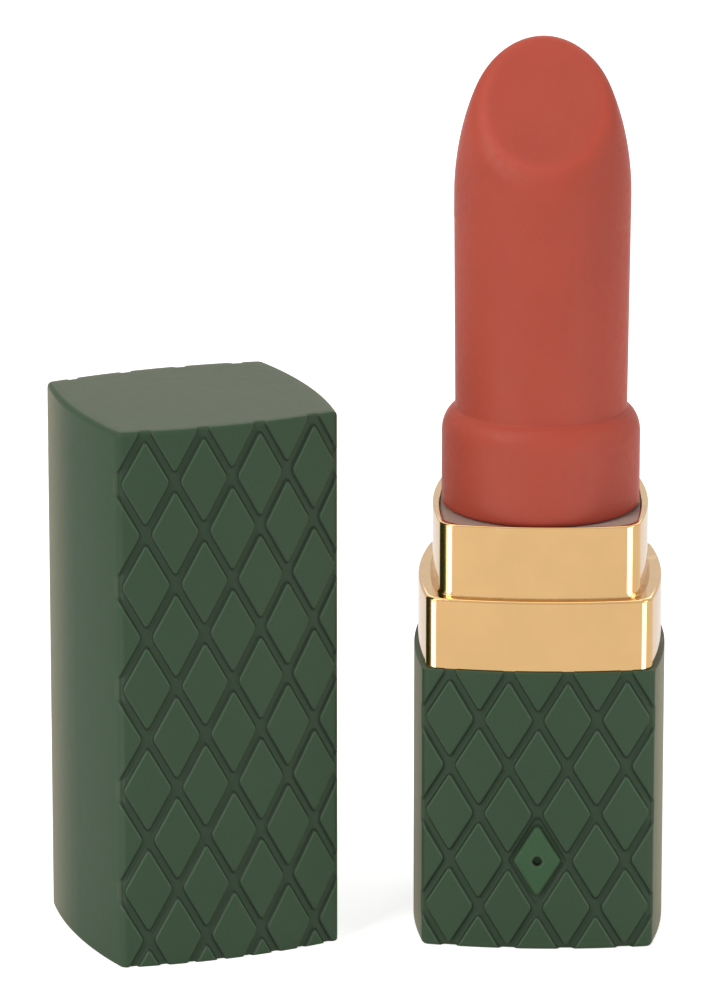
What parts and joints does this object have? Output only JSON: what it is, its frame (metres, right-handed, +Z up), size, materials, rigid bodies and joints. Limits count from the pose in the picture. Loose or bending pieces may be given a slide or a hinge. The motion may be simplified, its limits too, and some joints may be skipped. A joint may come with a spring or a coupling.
{
  "type": "lipstick-shaped massager",
  "caption": "Lipstick-shaped rechargeable massager, open, with a quilted base, a stepped gold collar, a slanted soft bullet tip and its quilted cap.",
  "frame": {"origin": "centre of the unit's underside, on the surface it stands on", "axes": "+Z up the unit's axis to the bullet's tip, -Y the front with the charging port and the slanted facet, the cap stands at -X"},
  "size_m": [0.0632, 0.0313, 0.092],
  "materials": {
    "soft_touch_green": "moulded plastic with a matte soft-touch coat",
    "port_green": "matte silicone, a brighter green than the housing",
    "gold_metallised": "vacuum-metallised gold plastic, mirror bright",
    "terracotta_silicone": "matte medical silicone, velvety",
    "grey_rubber": "grey-brown rubber",
    "black_rubber": "black rubber",
    "white_abs": "plain moulded ABS",
    "black_abs": "plain moulded black plastic",
    "steel": "bright steel",
    "copper": "copper windings and segments",
    "bronze": "sintered bronze",
    "ferrite": "dark ferrite",
    "laminate_green": "glass-fibre board with green solder mask",
    "pouch_foil": "laminated foil pouch",
    "foam": "adhesive foam",
    "wire_red": "red insulation"
  },
  "bodies": {
    "unit": {"base_housing": "soft_touch_green", "port_seal": "port_green", "stepped_collar": "gold_metallised", "collar_o_ring": "black_rubber", "bullet_gasket": "grey_rubber", "silicone_sleeve": "terracotta_silicone", "bullet_core_front": "white_abs", "bullet_core_rear": "white_abs", "motor_can": "steel", "motor_end_cap": "black_abs", "motor_bushings": "bronze", "motor_magnets": "ferrite", "motor_damper": "black_rubber", "chassis": "white_abs", "circuit_board": "laminate_green", "board_screws": "steel", "control_chip": "black_abs", "charge_jack": "black_abs", "jack_contact": "bronze", "battery_cell": "pouch_foil", "battery_pad": "foam", "battery_leads": "wire_red", "motor_leads": "wire_red", "tact_switch_body": "black_abs", "button_seal": "black_rubber"},
    "cap": {"cap_shell": "soft_touch_green"},
    "rotor": {"motor_shaft": "steel", "armature": "copper", "commutator": "copper", "eccentric_weight": "steel"},
    "button": {"power_button": "soft_touch_green"},
    "plunger": {"switch_plunger": "white_abs"}
  },
  "joints": [
    {"name": "cap_lift", "type": "slide", "parent": "unit", "child": "cap", "axis": [0, 0, 1], "range_m": [0, 0.0553]},
    {"name": "button_press", "type": "slide", "parent": "unit", "child": "button", "axis": [0, 0, 1], "range_m": [0, 0.0004], "stiffness_N_per_m": 300},
    {"name": "plunger_press", "type": "slide", "parent": "unit", "child": "plunger", "axis": [0, 0, 1], "range_m": [0, 0.0004]},
    {"name": "rotor_spin", "type": "hinge", "parent": "unit", "child": "rotor", "pos_m": [0, 0, 0.0604], "axis": [0, 0, 1], "continuous": true}
  ],
  "couplings": [
    {"joint": "plunger_press", "follows": "button_press", "ratio": 1}
  ]
}
